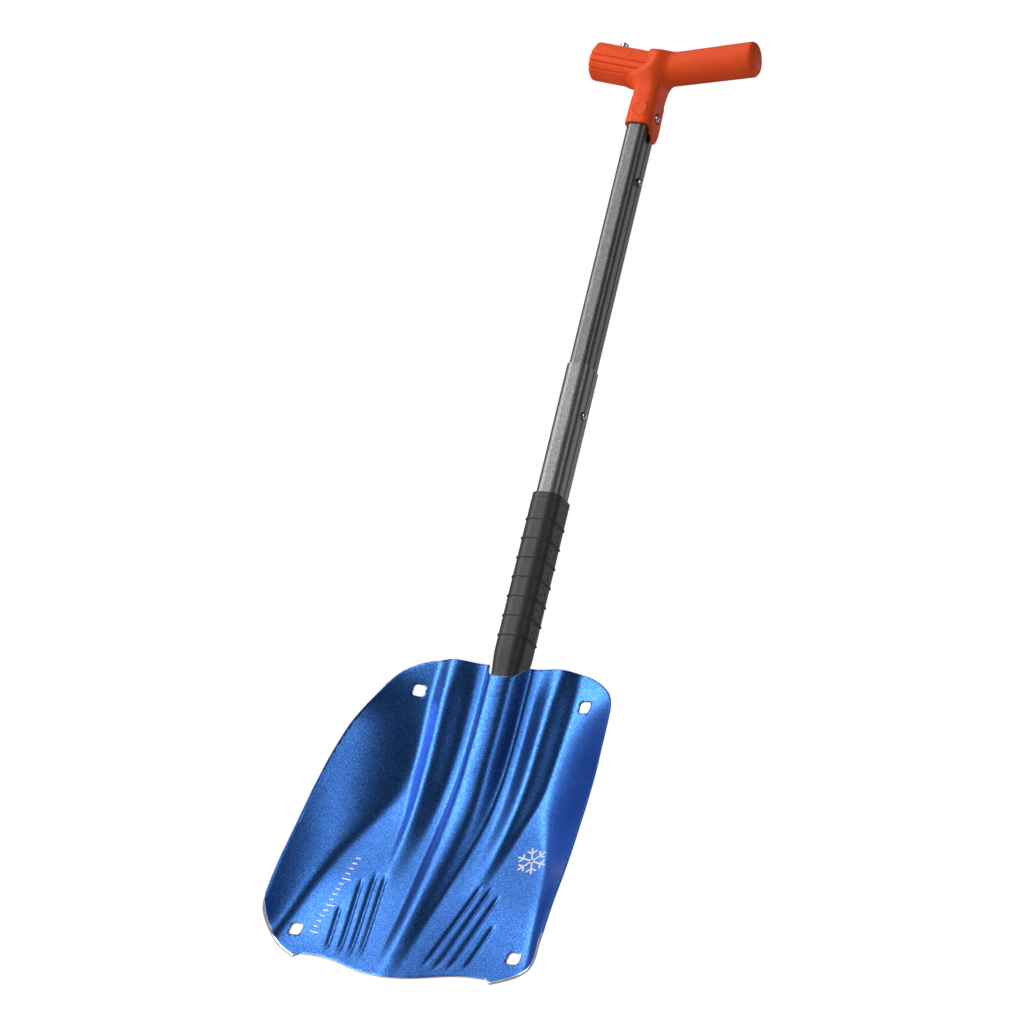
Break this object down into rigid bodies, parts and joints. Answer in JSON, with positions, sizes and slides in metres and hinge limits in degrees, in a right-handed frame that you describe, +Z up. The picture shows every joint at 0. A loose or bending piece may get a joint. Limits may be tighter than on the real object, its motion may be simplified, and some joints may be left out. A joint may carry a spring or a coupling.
{
  "type": "avalanche shovel",
  "caption": "Collapsible snow rescue shovel: pressed aluminium scoop, two-part telescopic shaft with snap buttons, ribbed grip sleeve and asymmetric T-handle.",
  "frame": {"origin": "bottom centre of the bounding box, with the shovel upright on the tip of its blade", "axes": "+Z up along the shaft towards the T-handle, -Y the way the open side of the scoop faces, +X towards the longer arm of the handle"},
  "size_m": [0.237, 0.1096, 0.8488],
  "materials": {
    "blue_anodised": "blue anodised, bead-blasted sparkle",
    "grey_anodised": "grey anodised, satin",
    "dark_anodised": "dark grey anodised, satin",
    "white_print": "flat printed ink",
    "black_nylon": "matt",
    "grip_rubber": "satin",
    "polished_steel": "polished",
    "spring_steel": "bright",
    "orange_plastic": "satin"
  },
  "bodies": {
    "lower_shaft": {"lower_tube": "grey_anodised", "grip_sleeve": "grip_rubber", "lower_plug": "black_nylon", "blade_lock_spring": "spring_steel"},
    "blade_unit": {"blade": "blue_anodised", "socket_cover": "blue_anodised"},
    "blade_lock": {"blade_lock_button": "polished_steel"},
    "upper_shaft": {"upper_tube": "dark_anodised", "upper_glide": "black_nylon", "shaft_lock_spring": "spring_steel", "stow_spring": "spring_steel", "handle_spring": "spring_steel"},
    "shaft_lock": {"shaft_lock_button": "polished_steel"},
    "stow_lock": {"stow_button": "polished_steel"},
    "handle_lock": {"handle_button": "polished_steel"},
    "handle": {"handle_body": "orange_plastic", "ribbed_arm": "orange_plastic", "arm_end_cap": "orange_plastic", "hoe_spring": "spring_steel"},
    "hoe_lock": {"hoe_button": "polished_steel"}
  },
  "joints": [
    {"name": "telescope", "type": "slide", "parent": "lower_shaft", "child": "upper_shaft", "axis": [0, 0, 1], "range_m": [-0.213, 0], "deforming": ["shaft_lock_button", "stow_button"]},
    {"name": "blade_release", "type": "slide", "parent": "lower_shaft", "child": "blade_unit", "axis": [0, 0, -1], "range_m": [0, 0.11], "deforming": ["blade_lock_button"]},
    {"name": "handle_release", "type": "slide", "parent": "upper_shaft", "child": "handle", "axis": [0, 0, 1], "range_m": [0, 0.055], "deforming": ["handle_button"]},
    {"name": "shaft_lock_press", "type": "slide", "parent": "upper_shaft", "child": "shaft_lock", "axis": [-1, 0, 0], "range_m": [0, 0.0038], "stiffness_N_per_m": 900, "deforming": ["shaft_lock_spring"]},
    {"name": "stow_press", "type": "slide", "parent": "upper_shaft", "child": "stow_lock", "axis": [-1, 0, 0], "range_m": [0, 0.0038], "stiffness_N_per_m": 900, "deforming": ["stow_spring"]},
    {"name": "handle_press", "type": "slide", "parent": "upper_shaft", "child": "handle_lock", "axis": [-1, 0, 0], "range_m": [0, 0.0038], "stiffness_N_per_m": 900, "deforming": ["handle_spring"]},
    {"name": "blade_lock_press", "type": "slide", "parent": "lower_shaft", "child": "blade_lock", "axis": [0, -1, 0], "range_m": [0, 0.0038], "stiffness_N_per_m": 900, "deforming": ["blade_lock_spring"]},
    {"name": "hoe_press", "type": "slide", "parent": "handle", "child": "hoe_lock", "axis": [-0.1599, 0, -0.9871], "range_m": [0, 0.0025], "stiffness_N_per_m": 900, "deforming": ["hoe_spring"]}
  ]
}
